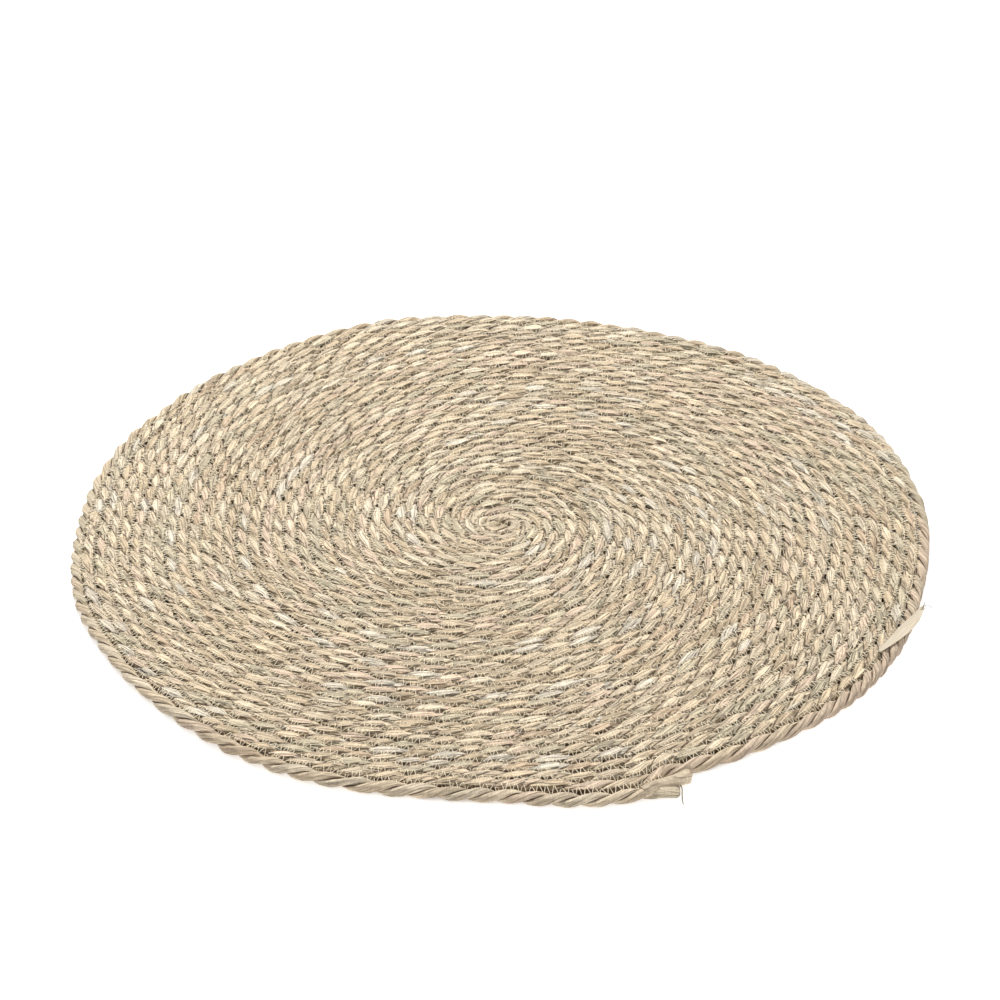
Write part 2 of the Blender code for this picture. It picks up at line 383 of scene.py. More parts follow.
def even_map(tubes, rings, columns, steps):
    """A map in metres, along tubes and round them. For u and for v, `steps` is how far it is from tube to
    tube, where this starts again, and how far it is from point to point."""

    def place(tube, ring, column, forward, round_):
        numbers = zip((ring + forward, column + round_), steps)
        return [tube * apart % span + number * size for number, (apart, span, size) in numbers]

    return face_map(tubes, rings, columns, place)


def bake_map(tubes, rings, columns, run, across, gap):
    """A map without overlaps, in which each stretch of `run` faces along a tube has a cell of its own, with
    `across` cells beside each other. `gap` is the free share of a cell, each way."""
    stretches = math.ceil((rings - 1) / run)
    rows = math.ceil(tubes * stretches / across)

    def place(tube, ring, column, forward, round_):
        cell = tube * stretches + ring // run
        u = gap[0] + (1 - 2 * gap[0]) * (ring % run + forward) / run
        v = gap[1] + (1 - 2 * gap[1]) * (column + round_) / columns
        return (cell % across + u) / across, (cell // across + v) / rows

    return face_map(tubes, rings, columns, place)


def tube_sides(tubes, rings, columns):
    """The numbers of each side face's four points, when they are numbered tube by tube and ring by ring."""
    index = np.arange(tubes * rings * columns).reshape(tubes, rings, columns)
    near, far = index[:, :-1], index[:, 1:]
    return np.stack((near, far, np.roll(far, -1, 2), np.roll(near, -1, 2)), -1).reshape(-1, 4)


def tube_mesh(name, points, maps, values=None):
    """A mesh of tubes, whose points are shaped (tubes, rings, columns, 3), with a face over each end.

    Each of maps is a UV map from face_map. Each of values is one number per point."""
    tubes, rings, columns, _ = points.shape
    index = np.arange(tubes * rings * columns).reshape(tubes, rings, columns)
    sides = tube_sides(tubes, rings, columns)
    ends = np.concatenate((index[:, 0], index[:, -1, ::-1]))
    corners = np.concatenate((sides.ravel(), ends.ravel()))
    starts = np.concatenate((np.arange(len(sides)) * 4, len(sides) * 4 + np.arange(len(ends)) * columns))
    data = bpy.data.meshes.new(name)
    data.vertices.add(index.size)
    data.vertices.foreach_set("co", points.astype(np.float32).ravel())
    data.loops.add(len(corners))
    data.loops.foreach_set("vertex_index", corners.astype(np.int32))
    data.polygons.add(len(starts))
    data.polygons.foreach_set("loop_start", starts.astype(np.int32))
    round_ = np.arange(columns) / columns * math.tau
    for map_name, face_corners in maps.items():
        # An end face gets a small round patch at the end of its tube's cell.
        face_corners = face_corners.reshape(tubes, rings - 1, columns, 4, 2)
        patches = []
        for middle, outwards in ((face_corners[:, 0, 0, 0], -1), (face_corners[:, -1, 0, 1], 1)):
            face_length = np.abs(face_corners[:, 0, 0, 1, 0] - face_corners[:, 0, 0, 0, 0])
            size = END_PATCH * face_length[:, None]
            u = middle[:, None, 0] + size * (END_PATCH_GAP + np.cos(round_)) * outwards
            v = middle[:, None, 1] + size * (1 + np.sin(round_))
            patches.append(np.stack((u, v), -1))
        patches[1] = patches[1][:, ::-1]
        layer = data.uv_layers.new(name=map_name)
        everything = np.concatenate([part.reshape(-1, 2) for part in (face_corners, *patches)])
        layer.uv.foreach_set("vector", everything.astype(np.float32).ravel())
    for value_name, numbers in (values or {}).items():
        layer = data.attributes.new(value_name, "FLOAT", "POINT")
        layer.data.foreach_set("value", np.broadcast_to(numbers, index.shape).astype(np.float32).ravel())
    data.update(calc_edges=True)
    data.validate()
    data.shade_smooth()
    return data


def add_tubes(name, points, bake, strand, finish, values=None, sharp=None):
    """A piece of tubes. `bake` is the run, across and gap of bake_map, and `strand` is the fibres' map."""
    data = tube_mesh(name, points, {"OFBake": bake_map(*points.shape[:3], *bake), "Strand": strand}, values)
    if sharp:
        data.set_sharp_from_angle(angle=math.radians(sharp))
    return add_piece(name, data, finish)


def hoops(path, radius, columns, flat=1.0):
    """Rings of points round each path, which is shaped (paths, points, 3). `flat` is height over width."""
    ahead = np.gradient(path, axis=1)
    ahead /= np.linalg.norm(ahead, axis=-1, keepdims=True)
    across = np.cross(ahead, (0, 0, 1))
    across /= np.linalg.norm(across, axis=-1, keepdims=True)
    above = np.cross(across, ahead)
    angle = (np.arange(columns) / columns * math.tau)[:, None]
    radius = np.broadcast_to(radius, path.shape[:2])[..., None, None]
    return path[:, :, None] + radius * (
        np.sin(angle) * across[:, :, None] + flat * np.cos(angle) * above[:, :, None]
    )


# --- Materials ---


class Finish:
    """A material under construction: most calls add a node and return what it puts out."""

    def __init__(self, name, surface):
        self.material = bpy.data.materials.new(name)
        self.material.use_nodes = True
        self.tree = self.material.node_tree
        self.surface = self.tree.nodes["Principled BSDF"]
        for socket, value in surface.items():
            self.surface.inputs[socket].default_value = value

    def node(self, kind, inputs, output=0, **settings):
        made = self.tree.nodes.new("ShaderNode" + kind)
        for setting, value in settings.items():
            setattr(made, setting, value)
        for socket, value in inputs.items():
            if isinstance(value, bpy.types.NodeSocket):
                self.tree.links.new(value, made.inputs[socket])
            else:
                made.inputs[socket].default_value = value
        return made.outputs[output]

    def strand_map(self, scale, slant=0.0):
        """The strand's own coordinates, along it and round it, with patterns this many times a metre.

        The pattern's lines lie at this slant to the strand."""
        place = self.node("UVMap", {}, uv_map="Strand")
        along, round_ = scale
        rows = ((along, 0, 0), (slant * round_, round_, 0))
        x, y = (self.node("VectorMath", {0: place, 1: row}, "Value", operation="DOT_PRODUCT") for row in rows)
        return self.node("CombineXYZ", {"X": x, "Y": y})

    def value(self, name):
        return self.node("Attribute", {}, output="Fac", attribute_name=name)

    def noise(self, place, detail=2.0):
        return self.node("TexNoise", {"Vector": place, "Scale": 1.0, "Detail": detail})

    def maths(self, operation, a, b):
        return self.node("Math", {0: a, 1: b}, operation=operation)

    def between(self, value, low, high, to_low=0.0, to_high=1.0):
        inputs = {"Value": value, "From Min": low, "From Max": high, "To Min": to_low, "To Max": to_high}
        return self.node("MapRange", inputs)

    def mix(self, factor, a, b, blend_type="MIX"):
        # Of the node's many sockets, these are the factor and the colours.
        inputs = {0: factor, 6: a, 7: b}
        return self.node("Mix", inputs, output=2, data_type="RGBA", blend_type=blend_type)

    def ramp(self, factor, stops, interpolation="LINEAR"):
        output = self.node("ValToRGB", {"Fac": factor})
        ramp = output.node.color_ramp
        ramp.interpolation = interpolation
        while len(ramp.elements) < len(stops):
            ramp.elements.new(0.5)
        for element, (place, colour) in zip(ramp.elements, stops):
            element.position = place
            element.color = colour
        return output

    def feed(self, socket, value):
        self.tree.links.new(value, self.surface.inputs[socket])

    def raise_(self, height, distance):
        self.feed("Normal", self.node("Bump", {"Height": height, "Distance": distance, "Strength": 1.0}))


def colour(red, green, blue):
    """A shader's colour from the usual 0 to 255 values."""
    parts = [value / 255 for value in (red, green, blue)]
    return (*(part / 12.92 if part <= 0.04045 else ((part + 0.055) / 1.055) ** 2.4 for part in parts), 1.0)


STRAWS = (
    # The dried grass's colours, each from this place in a range of 0 to 1 to the next row's place.
    (0.00, colour(229, 206, 172)),
    (0.14, colour(228, 213, 182)),
    (0.24, colour(245, 222, 188)),
    (0.48, colour(249, 228, 196)),
    (0.70, colour(252, 234, 204)),
    (0.82, colour(247, 221, 192)),
    (0.91, colour(249, 236, 213)),
    (0.96, colour(232, 205, 172)),
)
RIM_STRAW = colour(225, 205, 177)
CREASE_SHADE_COLOUR = colour(58, 38, 21)  # painted shade in the creases between strands, and between blades
GROOVE_SHADE_COLOUR = colour(72, 48, 26)  # painted shade in the groove between turns
BETWEEN_BLADES = 0.55  # share of the painted crease shade in the cracks between single blades
DEEPEST_CREASE = 0.92  # the same for the painted shade between strands, at the most
DEEPEST_GROOVE = 0.88  # share of the painted groove shade between turns, at the most
LIGHTER = 0.8  # a pattern lightens the grass by this share of what it darkens it by
ROUGHNESS = (0.72, 0.52)  # of the darkest and the lightest fibres
BUMP = 0.0007


def seagrass(name, slant, rim=0.0, depth=1.0, contrast=1.0):
    """Dried seagrass whose blades lie at this slant to the strand, with painted shade in its hollows.

    `rim` is the share of the rim's even colour, `depth` is how light the grass is, and `contrast` is how
    strongly its single blades and fibres show."""
    finish = Finish(name, {"Specular IOR Level": 0.35})
    blade = {"Vector": finish.strand_map((14, 420), slant), "Scale": 1.0, "Randomness": 0.9}
    blade_tint = finish.node("TexVoronoi", blade, "Color", voronoi_dimensions="2D")
    edge = finish.node("TexVoronoi", blade, voronoi_dimensions="2D", feature="DISTANCE_TO_EDGE")
    fibres = finish.noise(finish.strand_map((60, 2600), slant), detail=3.0)
    ridges = finish.noise(finish.strand_map((30, 900), slant))
    blotches = finish.noise(finish.strand_map((80, 160)), detail=4.0)
    wrinkles = finish.noise(finish.strand_map((1100, 110)), detail=1.0)
    base = finish.ramp(finish.value("tint"), STRAWS, "CONSTANT")
    base = finish.mix(rim, base, RIM_STRAW)
    shade = depth
    blade_number = finish.node("SeparateColor", {"Color": blade_tint})
    for pattern, low, high, spread in (
        # from low to high of its values, a pattern darkens and then lightens the grass by this share
        (blade_number, 0.0, 1.0, 0.13),
        (fibres, 0.3, 0.7, 0.28),
        (ridges, 0.3, 0.7, 0.3),
        (wrinkles, 0.35, 0.65, 0.12),
        (blotches, 0.3, 0.7, 0.09),
    ):
        darkest, lightest = 1 - spread * contrast, 1 + spread * contrast * LIGHTER
        lighter = finish.between(pattern, low, high, darkest, lightest)
        shade = finish.maths("MULTIPLY", shade, lighter)
    grey = finish.node("CombineColor", {"Red": shade, "Green": shade, "Blue": shade})
    painted = finish.mix(1.0, base, grey, "MULTIPLY")
    # Painted shade: in the cracks between single blades, in the creases between strands and in the grooves
    # between turns.
    for share, dark in (
        (finish.between(edge, 0.0, 0.06, BETWEEN_BLADES * contrast, 0.0), CREASE_SHADE_COLOUR),
        (finish.between(finish.value("shade_and_streaks"), 0.45, 1.0, 0.0, DEEPEST_CREASE), CREASE_SHADE_COLOUR),
        (finish.maths("MULTIPLY", finish.value("groove"), DEEPEST_GROOVE), GROOVE_SHADE_COLOUR),
    ):
        painted = finish.mix(share, painted, dark)
    finish.feed("Base Color", painted)
    finish.feed("Roughness", finish.between(fibres, 0.3, 0.7, *ROUGHNESS))
    height = fibres
    for pattern, share in ((ridges, 1.5), (finish.between(edge, 0.0, 0.12), 0.8), (wrinkles, 0.3)):
        height = finish.maths("ADD", height, finish.maths("MULTIPLY", pattern, share))
    finish.raise_(height, BUMP * contrast)
    return finish.material


# Roughness, specular level, streaks for each metre along and round, their detail, and their height.
THREAD_LOOK = (0.62, 0.3, (900, 300), 1.0, 0.0001)
LEAF_LOOK = (0.5, 0.4, (60, 2400), 3.0, 0.0002)


def streaked(name, look, dark, light):
    """A thread or a thin leaf, with fine streaks from a dark to a light colour."""
    roughness, specular, scale, detail, height = look
    finish = Finish(name, {"Roughness": roughness, "Specular IOR Level": specular})
    streaks = finish.noise(finish.strand_map(scale), detail)
    finish.feed("Base Color", finish.ramp(streaks, ((0.3, dark), (0.7, light))))
    finish.raise_(streaks, height)
    return finish.material


# --- The rope ---


def strand_reach(angle, radius, offset):
    """From the rope's middle to the outside of a round strand, at this angle from the strand's middle."""
    return offset * np.cos(angle) + np.sqrt(radius**2 - (offset * np.sin(angle)) ** 2)


def pressed(distance, room):
    """A distance to one side, pressed in softly where it would pass `room`."""
    return distance / (1 + (np.abs(distance) / room) ** PRESS) ** (1 / PRESS)


class Rope:
    """The rope's route and make, ring by ring."""

    def __init__(self):
        turn = np.linspace(SPIRAL_START, WINDINGS, FINE_POINTS)
        plan = in_plan(turn, crest(turn))
        heart = np.array([(x, y, turns) for turns, x, y in HEART])
        spiral = np.concatenate((plan, turn[:, None]), 1)
        # A curve leads from the heart to the spiral's first points, and is cut off just before them.
        joined = curve_through([*heart, *spiral[:900:300]], STEP / 4)
        joined = joined[joined[:, 2] < SPIRAL_START - 0.01]
        route = np.concatenate((joined, spiral))
        lengths = lengths_of(route[:, :2])
        self.along = along = np.linspace(0, lengths[-1], round(lengths[-1] / STEP) + 1)
        x, y, self.turn = (np.interp(along, lengths, route[:, column]) for column in range(3))
        ahead = np.stack((np.gradient(x), np.gradient(y)), -1)
        ahead /= np.linalg.norm(ahead, axis=1, keepdims=True)
        self.outwards = np.stack((ahead[:, 1], -ahead[:, 0]), -1)
        turning = np.gradient(np.unwrap(np.arctan2(ahead[:, 1], ahead[:, 0]))) / STEP
        self.bend_radius = 1 / np.maximum(turning, 1.0)
        swerve = wander(along, *SWERVE) * smooth_step((along[-1] - along) / STEADY_END)
        self.middle = np.stack((x, y), -1) + swerve[:, None] * self.outwards
        self.half_width = np.where(self.turn > 1, half_width(self.turn), PITCH / 2)
        dip = HEART_DIP * smooth_step(1 - along / DIP_LENGTH)
        self.height = THICKNESS / 2 + LIFT + wander(along, *WAVE) - dip
        self.firm = smooth_step((self.turn - RIM_START) / (LAST_TURN - RIM_START))
        lay = self.inside_and_rim(LAY) * (1 + np.clip(wander(along, *LAY_SPREAD), -LAY_LIMIT, LAY_LIMIT))
        left = np.cumsum((math.tau * STEP / lay)[::-1])[::-1]
        self.phase = left - left[-1] - math.tau * LAST_CROSSING / LAY[1]
        size = THIN_START + (1 - THIN_START) * np.sqrt(np.clip(along / TAPER, 0, 1))
        self.radius, self.offset = (
            [self.inside_and_rim(pair) * (1 + wander(along, *spread)) * size for _ in range(2)]
            for pair, spread in ((STRAND_RADIUS, RADIUS_SPREAD), (STRAND_OFFSET, OFFSET_SPREAD))
        )
        # Each pass of a strand over the top is a number of its own, which counts down along the rope.
        passes = np.floor((self.phase + np.array((0.0, math.pi))[:, None] + math.pi) / math.tau).astype(int)
        tints = rng.random((2, passes.max() + 2))
        same = rng.random(tints.shape) < SAME_TINT
        for number in range(1, tints.shape[1]):
            tints[:, number] = np.where(same[:, number], tints[:, number - 1], tints[:, number])
        self.tint = np.stack([row[numbers] for row, numbers in zip(tints, passes)])

    def inside_and_rim(self, pair):
        """From the first of two values, in the turns inside, to the second along the rim."""
        return pair[0] * (1 - self.firm) + pair[1] * self.firm

    def place(self, ring, reach, angle, lift=0.0):
        """Points at this reach and angle from the rope's middle, pressed flat, and then lifted off it."""
        reach = reach * (1 + SHOULDERS * (1 - self.firm[ring]) * np.sin(2 * angle) ** 2)
        out = reach * np.sin(angle)
        up = pressed(reach * np.cos(angle), HIGH_ROOM) + lift * np.cos(angle)
        room = self.half_width[ring] * SIDE_ROOM
        inner_room = np.minimum(room, self.bend_radius[ring])
        out = pressed(out, np.where(out < 0, inner_room, room)) + lift * np.sin(angle)
        plan = self.middle[ring] + out[..., None] * self.outwards[ring]
        z = np.maximum(self.height[ring] + up, 0.0)
        return np.concatenate((plan, z[..., None]), -1)

    def rings(self):
        """Points round each ring, and their painted shade by the strands' crease and the turns' groove."""
        angle = COLUMN_ANGLES[:-1]
        strands = zip(self.radius, self.offset)
        reach = [strand_reach(angle, radius[:, None], offset[:, None]) for radius, offset in strands]
        reach = np.concatenate(reach, 1)
        for column in (0, COLUMNS):
            reach[:, column] = (reach[:, 0] + reach[:, COLUMNS]) / 2
        from_crease = math.pi / 2 - np.abs(np.concatenate((angle, angle)))
        dent = CREASE_DEPTH * (1 + wander(self.along, *CREASE_SPREAD))
        reach -= dent[:, None] * (1 - smooth_step(from_crease / CREASE_WIDTH))
        for column in range(2 * COLUMNS):
            if column % COLUMNS:
                reach[:, column] += wander(self.along, *RELIEF)
        round_ = self.phase[:, None] + np.concatenate((angle, angle + math.pi))
        ring = np.arange(len(self.along))[:, None]
        points = self.place(ring, reach, round_)
        # Painted shade: darker towards the groove between turns, though less on the rim's outer side, and
        # darker by the strands' crease.
        out = np.abs(reach * np.sin(round_)) / self.half_width[:, None]
        free_side = self.firm[:, None] * (np.sin(round_) > 0)
        groove = smooth_step((out - GROOVE_SHADE) / (1 - GROOVE_SHADE)) * (1 - FREE_SIDE_LIGHT * free_side)
        shade_and_streaks = np.exp(-((from_crease / self.inside_and_rim(CREASE_SHADE)[:, None]) ** 2))
        return points, shade_and_streaks, groove


def strand_map(along, columns):
    """A map in metres, along the strand and round it."""
    from_crease = (COLUMN_ANGLES[:: COLUMNS // columns] + math.pi / 2) * MAP_RADIUS

    def place(_, ring, column, forward, round_):
        v = (column // columns) * SECOND_STRAND + from_crease[column % columns + round_]
        return along[ring + forward], v

    return face_map(1, len(along), 2 * columns, place)


def rope_pieces(rope, points, shade_and_streaks, groove, finishes):
    """The rope's lengths as pieces, up to where its strands part."""
    made = []
    parted = np.searchsorted(rope.along, rope.along[-1] - FREE_LENGTH)
    for (name, first, last, coarser), finish in zip(ROPE_PIECES, finishes):
        low, high = (round(end / COARSER) * COARSER for end in np.searchsorted(rope.turn, (first, last)))
        part = slice(low, min(high + 1, parted), coarser)
        along = rope.along[part]
        columns = COLUMNS // coarser
        run = math.ceil((len(along) - 1) / math.sqrt((along[-1] - along[0]) / ROPE_GIRTH))
        # Each point carries its painted shade of crease and groove, and its tint.
        values = {
            "shade_and_streaks": shade_and_streaks[None, part, ::coarser],
            "groove": groove[None, part, ::coarser],
            "tint": np.repeat(rope.tint[:, part], columns, 0).T[None],
        }
        bake, strand = (run, 1, ROPE_GAP), strand_map(along, columns)
        made.append(add_tubes(name, points[None, part, ::coarser], bake, strand, finish, values, ROPE_SHARP))
    return made


def blade_points(rope, rows, width, lift, columns, turned_by):
    """Points and tints of the blades in these rows, ordered from the middle of the coil outwards."""
    starts = []
    for strand in range(2):
        for row in np.radians(rows):
            laps = np.floor((rope.phase + strand * math.pi - row) / math.tau)
            starts += [(ring, strand, row) for ring in np.flatnonzero(np.diff(laps))]
    ring, strand, angle = np.array(sorted(starts)).T
    ring, strand = ring.astype(int), strand.astype(int)
    kept = (rope.turn[ring] > FIRST_BLADE) & (rope.turn[ring] < RIM_START)
    ring, strand, angle = ring[kept], strand[kept], angle[kept]
    count = len(ring)
    tint = np.where(rng.random(count) < SAME_BLADE_TINT, rope.tint[strand, ring], rng.random(count))
    length = LAY[0] / 2 * rng.uniform(*BLADE_LENGTH, count)[:, None]
    rings = ring[:, None] + np.round(BLADE_SHARES * length / STEP).astype(int)
    rings = np.clip(rings, 0, len(rope.along) - 1)
    angle = angle + rng.normal(0, BLADE_SPREAD[0], count)
    angle = angle[:, None] + rng.normal(turned_by, BLADE_SPREAD[1], count)[:, None] * BLADE_SHARES
    turned = angle - rope.phase[rings] - strand[:, None] * math.pi
    turned = (turned + math.pi / 2) % math.pi - math.pi / 2
    radius, offset = (np.array(values)[strand[:, None], rings] for values in (rope.radius, rope.offset))
    reach = strand_reach(turned, radius, offset)
    spread, least, most = BLADE_WIDTHS
    wider = np.exp(np.clip(rng.normal(0, spread, count), least, most))[:, None]
    width_angle = width * wider * BLADE_SHAPE / (THICKNESS / 2)
    lift = rng.uniform(*lift, (count, 1)) * BLADE_LIFT
    sink = BLADE_SINK * (BLADE_LIFT == 0)
    lines = []
    for share in np.linspace(0.5, -0.5, columns):
        crown = BLADE_EDGES + (1 - BLADE_EDGES) * (1 - (2 * share) ** 2)
        lines.append(rope.place(rings, reach, angle + share * width_angle, lift * crown - sink))
    return np.stack(lines, 2), tint


def blade_piece(name, points, tint, finish):
    tubes, rings, columns, _ = points.shape
    bake = (rings - 1, math.ceil(math.sqrt(tubes / 2)), BLADE_GAP)
    # The blades' points get no painted shade of crease or groove.
    values = {"shade_and_streaks": 0.0, "groove": 0.0, "tint": tint[:, None, None]}
    return add_tubes(name, points, bake, even_map(tubes, rings, columns, BLADE_MAP), finish, values)


def free_strand(rope, strand, knots):
    """The middle line of one strand, from a little before the strands part to its own free end."""
    first = np.searchsorted(rope.along, rope.along[-1] - FREE_LENGTH)
    part = slice(first - 7, first, 2)
    angle = rope.phase[part] + strand * math.pi
    out = STRAND_OFFSET[1] * np.sin(angle)
    up = STRAND_OFFSET[1] * np.cos(angle)
    plan = rope.middle[part] + out[:, None] * rope.outwards[part]
    twisted = np.concatenate((plan, (rope.height[part] + up)[:, None]), 1)
    return curve_through([*twisted, *knots], END_SPACING)


def strand_end(rope, finish, name, strand, radius, tint, shade, knots):
    """A free end of a strand, fluffed out to this radius, painted darker by its shade, with a blunt cut."""
    path = free_strand(rope, strand, knots)
    along = lengths_of(path)
    left = along[-1] - along
    size = STRAND_RADIUS[1] + (radius - STRAND_RADIUS[1]) * smooth_step(along / END_FLUFF)
    size *= 1 - END_BLUNT[1] * smooth_step(1 - left / END_BLUNT[0]) ** 3
    points = hoops(path[None], size, END_COLUMNS)
    middle = path[None, :, None]
    rough = np.stack([1 + wander(along, *END_ROUGHNESS) for _ in range(END_COLUMNS)], 1)
    points = middle + (points - middle) * rough[None, ..., None]
    points[..., 2] = np.clip(points[..., 2], 0.0, None)
    bake = (math.ceil((len(path) - 1) / 2), 1, END_GAP)
    fibres = strand_map(along + END_MAP + strand, END_COLUMNS // 2)
    # Painted shade on the end, with random dark streaks: its own shade, and more towards the cut.
    streaks = np.stack([wander(along, *END_STREAKS) for _ in range(END_COLUMNS)], 1)
    cut = END_DARK[1] * smooth_step(1 - left / END_DARK[0])[:, None]
    shade_and_streaks = np.clip(shade + streaks + cut, 0.0, END_DARKEST)[None]
    values = {"shade_and_streaks": shade_and_streaks, "groove": 0.0, "tint": tint}
    return add_tubes(name, points, bake, fibres, finish, values, END_SHARP)


# --- The sewing ---


RAY_TOP, RAY_BOTTOM = 0.03, -0.02  # heights well above and below the mat


class Surface:
    """Finds the height of the rope's upper and lower side."""

    def __init__(self, parts):
        """Each of parts is the points of tubes, shaped (tubes, rings, columns, 3)."""
        vertices, faces = [], []
        for points in parts:
            first = sum(len(done) for done in vertices)
            faces.append(tube_sides(*points.shape[:3]) + first)
            vertices.append(points.reshape(-1, 3))
        self.tree = BVHTree.FromPolygons(np.concatenate(vertices).tolist(), np.concatenate(faces).tolist())

    def heights(self, plan, missing, above):
        """Heights at these places of the plan, or `missing` where there is no rope."""
        start, way = (RAY_TOP, Vector((0, 0, -1))) if above else (RAY_BOTTOM, Vector((0, 0, 1)))
        found = np.full(len(plan), missing)
        for k, (x, y) in enumerate(plan.tolist()):
            hit = self.tree.ray_cast(Vector((x, y, start)), way)[0]
            if hit:
                found[k] = hit.z
        return found


def zigzag(surface, above):
    """The path of the zigzag thread: it goes into a hole on each side of the groove in turn."""
    turn, along = even_turns(lambda turn: side(turn - 1), FIRST_STITCH, THREAD_END, STITCH / 2)
    count = len(turn)
    turn = turn + rng.normal(0, HOLE_SPREAD, count) * np.gradient(turn)
    slow, quick, most = REACH_SPREAD
    reach = REACH + np.clip(wander(along, *slow) + rng.normal(0, quick, count), -most, most)
    inner = crest(turn - 1) + half_width(turn - 1) - reach
    outer = crest(turn) - half_width(turn) + reach
    holes = in_plan(turn, np.where(np.arange(count) % 2, outer, inner) + wander(along, *THREAD_SWERVE))
    shares = np.array(LEG_TOP if above else LEG_UNDER)[:, None]
    plan = holes[:-1, None] * (1 - shares) + holes[1:, None] * shares
    height = surface.heights(plan.reshape(-1, 2), THICKNESS / 2, above).reshape(plan.shape[:2])
    way = 1 if above else -1
    z = height + way * THREAD_RADIUS * THREAD_CLEARANCE
    z[:, 0] = height[:, 0] - way * HOLE_DEPTH
    if not above:
        z = np.maximum(z, THREAD_RADIUS)
        z[:, 1] = THREAD_RADIUS
    return np.concatenate((plan, z[..., None]), -1).reshape(-1, 3)


def thread_map(tubes, rings, columns):
    round_ = (0, math.inf, math.tau * THREAD_RADIUS / columns)
    return even_map(tubes, rings, columns, (THREAD_MAP, round_))


def thin_piece(name, path, radius, columns, bake, finish):
    points = hoops(path[None], radius, columns)
    return add_tubes(name, points, bake, thread_map(1, len(path), columns), finish)


def thread_pieces(name, path, finish):
    length = math.ceil((len(path) - 1) / THREAD_PARTS)
    parts = [path[k * length : (k + 1) * length + 1] for k in range(THREAD_PARTS)]
    return [
        thin_piece(f"{name}_{k}", part, THREAD_RADIUS, 3, (THREAD_RUN, 1, THREAD_GAP), finish)
        for k, part in enumerate(parts, 1)
    ]


# --- Loose ends ---


def shares_of(path):
    """How far along the path each of its points is, as a share."""
    return lengths_of(path) / lengths_of(path)[-1]


def loose_end(name, knots, spacing, radius, taper, finish):
    """A short thread or hair that thins out by this share of its radius towards its tip."""
    path = curve_through(knots, spacing)
    bake = (math.ceil((len(path) - 1) / 3), 1, LOOSE_END_GAP)
    return thin_piece(name, path, radius * (1 - taper * shares_of(path)), 6, bake, finish)


def ribbon_map(path, columns, width):
    """A map in metres, along a flat ribbon and round it."""
    along = lengths_of(path)

    def place(_, ring, column, forward, round_):
        return along[ring + forward], (column + round_) / columns * 2 * width

    return face_map(1, len(path), columns, place)


def leaf_blade(finish):
    """The loose end of a leaf: a flat ribbon, slightly hollow across, that thins out to both ends."""
    columns = LEAF_COLUMNS
    rows = np.array(LEAF)
    path = curve_through(rows[:, [0, 1, 3]], LEAF_SPACING)
    share = shares_of(path)
    width = np.interp(share, shares_of(rows[:, :2]), rows[:, 2])
    across = hoops(path[None], 1.0, columns, flat=0.0) - path[None, :, None]
    angle = np.arange(columns) / columns * math.tau
    ripple = np.stack([wander(share, *LEAF_RIPPLE) for _ in range(columns)], 1)
    points = path[None, :, None] + across * (width / 2)[None, :, None, None]
    hollow = LEAF_HOLLOW * np.sin(angle) ** 2
    points[..., 2] += hollow + LEAF_BODY * np.cos(angle) + ripple * np.abs(np.sin(angle))
    bake = (math.ceil((len(path) - 1) / 2), 1, END_GAP)
    return add_tubes("leaf_blade", points, bake, ribbon_map(path, columns, LEAF_MAP_WIDTH), finish)


def loose_fibres(rope, surface, finish):
    """Slivers of dry grass that lie loose on the rope and point along it."""
    rings, columns = len(FIBRE_SHAPE), 4
    place = (rng.uniform(*FIBRE_PLACES, FIBRES) * len(rope.turn)).astype(int)
    outwards = rope.outwards[place]
    length = rng.uniform(*FIBRE_LENGTHS, FIBRES)
    shares = np.linspace(-0.5, 0.5, rings)
    ahead = np.stack((-outwards[:, 1], outwards[:, 0]), -1)
    skew = rng.normal(*FIBRE_SKEW, FIBRES)
    start = rope.middle[place] + rng.uniform(-FIBRE_ASIDE, FIBRE_ASIDE, FIBRES)[:, None] * outwards
    way = ahead - skew[:, None] * outwards
    plan = start[:, None] + shares[None, :, None] * length[:, None, None] * way[:, None]
    height = surface.heights(plan.reshape(-1, 2), THICKNESS, above=True).reshape(FIBRES, rings)
    z = np.maximum(height, height.mean(1, keepdims=True) - FIBRE_SINK)
    z = z + FIBRE_ARCH * rng.uniform(*FIBRE_ARCHES, FIBRES)[:, None]
    z[:, 0] -= FIBRE_SINK
    path = np.concatenate((plan, z[..., None]), -1)
    size = rng.uniform(*FIBRE_RADII, FIBRES)[:, None] * FIBRE_SHAPE
    points = hoops(path, size, columns, flat=FIBRE_FLATNESS)
    bake = (rings - 1, math.ceil(math.sqrt(FIBRES / 5)), FIBRE_GAP)
    return add_tubes("loose_fibres", points, bake, thread_map(FIBRES, rings, columns), finish)


# --- Camera, light and floor ---


CAMERA_ELEVATION = 33.23  # degrees
CAMERA_DISTANCE = 2.095
CAMERA_TARGET = Vector((0, 0.0441, 0))
CAMERA_ROLL = -0.41  # degrees
CAMERA_LENS = 105.75  # millimetres, on a 36 mm sensor
WHITE = (1.0, 1.0, 1.0, 1.0)
WORLD_LIGHT = 0.46
LIGHTS = (
    # name, place, size, power in watts
    ("key", (-0.6, 1.0, 2.4), 0.7, 80),
    ("fill", (1.2, -1.2, 2.2), 1.6, 14),
)
FLOOR_HALF = 20.0
FLOOR_HEIGHT = -0.0002
FLOOR_LOOK = {
    "Base Color": (0.93, 0.93, 0.93, 1.0),
    "Roughness": 0.9,
    "Specular IOR Level": 0.1,
    "Emission Color": WHITE,
}
# Distances from the middle at which the floor's glow starts and is full, and its strength at both. It starts
# inside the mat's outline, so that hardly any of it shines through the rim.
FLOOR_GLOW = (0.288, 0.298, 0.0, 0.55)


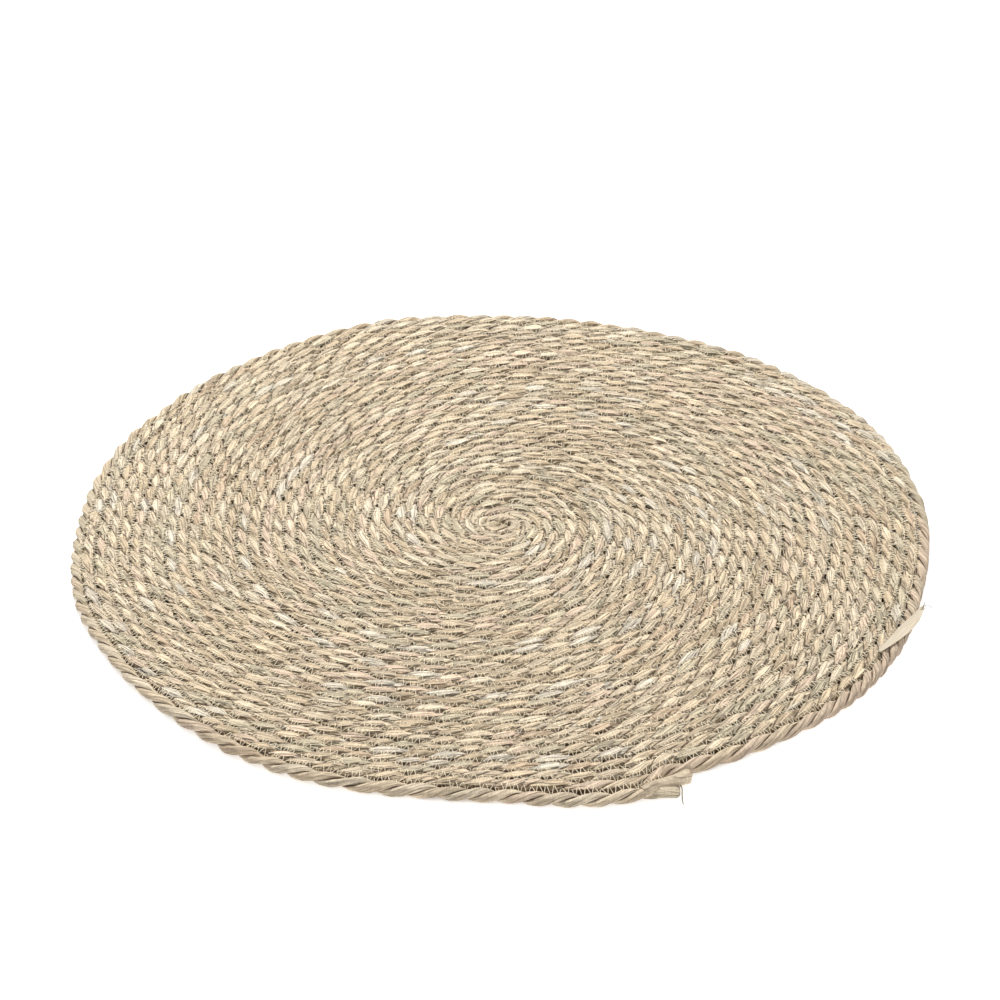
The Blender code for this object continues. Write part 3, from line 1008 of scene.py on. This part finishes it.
def add_camera():
    data = bpy.data.cameras.new("camera")
    data.lens = CAMERA_LENS
    made = add_object("camera", data)
    elevation = math.radians(CAMERA_ELEVATION)
    back = Vector((0, -math.cos(elevation), math.sin(elevation)))
    tilt = Matrix.Rotation(math.pi / 2 - elevation, 4, "X")
    roll = Matrix.Rotation(math.radians(CAMERA_ROLL), 4, "Z")
    made.matrix_world = Matrix.Translation(CAMERA_TARGET + back * CAMERA_DISTANCE) @ tilt @ roll
    bpy.context.scene.camera = made


def add_light(name, place, size, power):
    data = bpy.data.lights.new(name, "AREA")
    data.shape = "DISK"
    data.size = size
    data.energy = power
    made = add_object(name, data)
    made.location = place
    made.rotation_mode = "QUATERNION"
    made.rotation_quaternion = (-Vector(place)).to_track_quat("-Z", "Y")


def add_floor():
    low, high = -FLOOR_HALF, FLOOR_HALF
    corners = [(x, y, FLOOR_HEIGHT) for x, y in ((low, low), (high, low), (high, high), (low, high))]
    data = bpy.data.meshes.new("floor")
    data.from_pydata(corners, [], [(0, 1, 2, 3)])
    finish = Finish("white floor", FLOOR_LOOK)
    place = finish.node("TexCoord", {}, "Object")
    from_middle = finish.node("VectorMath", {"Vector": place}, "Value", operation="LENGTH")
    finish.feed("Emission Strength", finish.between(from_middle, *FLOOR_GLOW))
    add_piece("floor", data, finish.material)


def light_the_scene():
    world = bpy.data.worlds.new("studio")
    world.use_nodes = True
    background = world.node_tree.nodes["Background"]
    background.inputs["Color"].default_value = WHITE
    background.inputs["Strength"].default_value = WORLD_LIGHT
    bpy.context.scene.world = world
    for light in LIGHTS:
        add_light(*light)
    bpy.context.scene.view_settings.view_transform = "Standard"


# --- Putting it together ---

rope = Rope()
points, shade_and_streaks, groove = rope.rings()
blades = [blade_points(rope, *row) for row in BLADES]
inside = np.searchsorted(rope.turn, RIM_START)
rope_parts = (points[None, :inside:COARSER, ::COARSER], points[None, inside - COARSER :])
surface = Surface((*rope_parts, *(blade for blade, _ in blades)))
# The worn rope's grass is a little darker than the loose blades that lie on it, partly as painted shade under
# them.
worn = seagrass("worn seagrass", slant=-0.4, depth=0.76, contrast=1.15)
firm = seagrass("seagrass rim", slant=-0.12, rim=0.25, depth=0.70, contrast=0.75)
cream = streaked("sewing thread", THREAD_LOOK, colour(229, 211, 178), colour(252, 243, 220))
rope_objects = rope_pieces(rope, points, shade_and_streaks, groove, (worn, worn, firm))
loose = seagrass("seagrass blades", slant=0.0, depth=0.82)
rope_objects.append(blade_piece("grass_blades_wide", *blades[0], loose))
rope_objects.append(blade_piece("grass_blades_narrow", *blades[1], loose))
thread_objects = thread_pieces("thread_top", zigzag(surface, above=True), cream)
thread_objects += thread_pieces("thread_under", zigzag(surface, above=False), cream)
# The thread's loose tail is painted much darker than the sewing thread, as shade.
shadowed = streaked("frayed thread", THREAD_LOOK, colour(96, 88, 66), colour(150, 140, 112))
thread_objects.append(loose_end("thread_tail", THREAD_TAIL, TAIL_SPACING, TAIL_RADIUS, 0.0, shadowed))
rope_objects += [strand_end(rope, firm, *row) for row in STRAND_ENDS]
straw = streaked("pale leaf", LEAF_LOOK, colour(184, 170, 147), colour(210, 198, 177))
dark_fibre = streaked("dark leaf fibre", THREAD_LOOK, colour(98, 90, 74), colour(164, 154, 132))
leaf = leaf_blade(straw)
leaf_objects = [leaf]
for number, knots in enumerate(LEAF_HAIRS, 1):
    hair = loose_end(f"leaf_hair_{number}", knots, HAIR_SPACING, HAIR_RADIUS, HAIR_TAPER, dark_fibre)
    leaf_objects.append(hair)
leaf_objects.append(loose_fibres(rope, surface, straw))

for piece in rope_objects[:3]:
    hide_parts("coiled_rope")
for piece in rope_objects:
    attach(piece, "root")
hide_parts("loose_leaf")
for piece in leaf_objects:
    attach(piece, "root")
for piece in thread_objects:
    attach(piece, "root")

add_camera()
light_the_scene()
add_floor()
